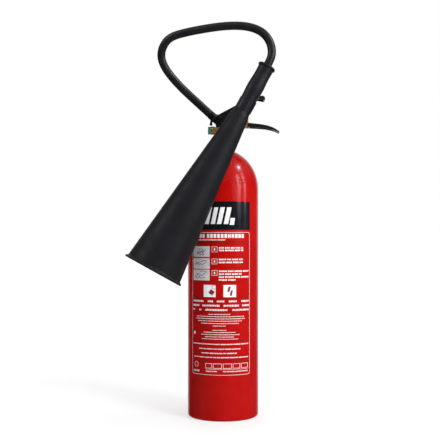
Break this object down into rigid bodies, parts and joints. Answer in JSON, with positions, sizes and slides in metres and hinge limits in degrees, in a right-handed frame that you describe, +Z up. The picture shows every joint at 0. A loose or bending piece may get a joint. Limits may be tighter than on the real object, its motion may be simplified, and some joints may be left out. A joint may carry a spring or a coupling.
{
  "type": "fire extinguisher",
  "caption": "Carbon dioxide fire extinguisher: red steel cylinder, squeeze-grip valve with safety pin, and a black hose ending in a discharge horn clipped across the front.",
  "frame": {"origin": "on the cylinder's axis, in the plane that its foot ring stands on", "axes": "+Z up along the cylinder; +X from the valve towards the two handles; -Y towards the labelled front and the horn"},
  "size_m": [0.294, 0.2427, 0.7667],
  "materials": {
    "red_paint": "gloss",
    "label_red": "glossy vinyl film",
    "label_black": "satin",
    "valve_brass": "satin",
    "bare_brass": "polished",
    "handle_black": "semi-gloss powder coat",
    "plated_steel": "zinc plated",
    "bright_steel": "bright",
    "rubber_black": "matt",
    "hose_rubber": "satin",
    "horn_plastic": "satin moulding",
    "grip_plastic": "satin moulding",
    "cap_teal": "gloss",
    "tie_plastic": "gloss",
    "tube_plastic": "satin",
    "disc_metal": "bright"
  },
  "bodies": {
    "cylinder": {"cylinder": "red_paint", "label_panel": "label_red", "label_band": "label_black", "valve_body": "valve_brass", "dip_tube": "tube_plastic", "neck_seal": "rubber_black", "gland_nut": "bare_brass", "gland_ring": "rubber_black", "valve_spring": "bright_steel", "burst_disc": "disc_metal", "burst_nut": "bare_brass", "burst_cap": "cap_teal", "carry_handle": "handle_black", "handle_rivets": "plated_steel", "lever_pivots": "handle_black", "outlet_nut": "handle_black", "outlet_ferrule": "handle_black", "seal_tie": "tie_plastic", "hose": "hose_rubber", "horn_bracket": "handle_black", "horn_clip": "handle_black", "clip_screw": "plated_steel"},
    "lever": {"squeeze_lever": "handle_black"},
    "spindle": {"spindle": "bright_steel", "poppet_seal": "rubber_black"},
    "safety_pin": {"safety_pin": "plated_steel"},
    "pull_ring": {"pull_ring": "plated_steel"},
    "horn": {"horn_cone": "horn_plastic", "horn_grip": "grip_plastic", "horn_ferrule": "plated_steel", "horn_jet": "bare_brass"}
  },
  "joints": [
    {"name": "lever_squeeze", "type": "hinge", "parent": "cylinder", "child": "lever", "pos_m": [-0.008, 0, 0.588], "axis": [0, 1, 0], "range_deg": [0, 16], "stiffness_Nm_per_rad": 4, "springref_deg": -2.86},
    {"name": "valve_push", "type": "slide", "parent": "cylinder", "child": "spindle", "axis": [0, 0, -1], "range_m": [0, 0.003], "deforming": ["valve_spring"]},
    {"name": "pin_pull", "type": "slide", "parent": "cylinder", "child": "safety_pin", "axis": [0, 1, 0], "range_m": [0, 0.045]},
    {"name": "ring_swing", "type": "hinge", "parent": "safety_pin", "child": "pull_ring", "pos_m": [0.02, 0.023, 0.5895], "axis": [1, 0, 0], "range_deg": [0, 100]},
    {"name": "horn_swing", "type": "hinge", "parent": "cylinder", "child": "horn", "pos_m": [0.0165, -0.0585, 0.7585], "axis": [-0.9681, 0.249, 0.028], "range_deg": [0, 75], "deforming": ["hose"]}
  ],
  "couplings": [
    {"joint": "valve_push", "follows": "lever_squeeze", "m_per_rad": 0.0085}
  ]
}
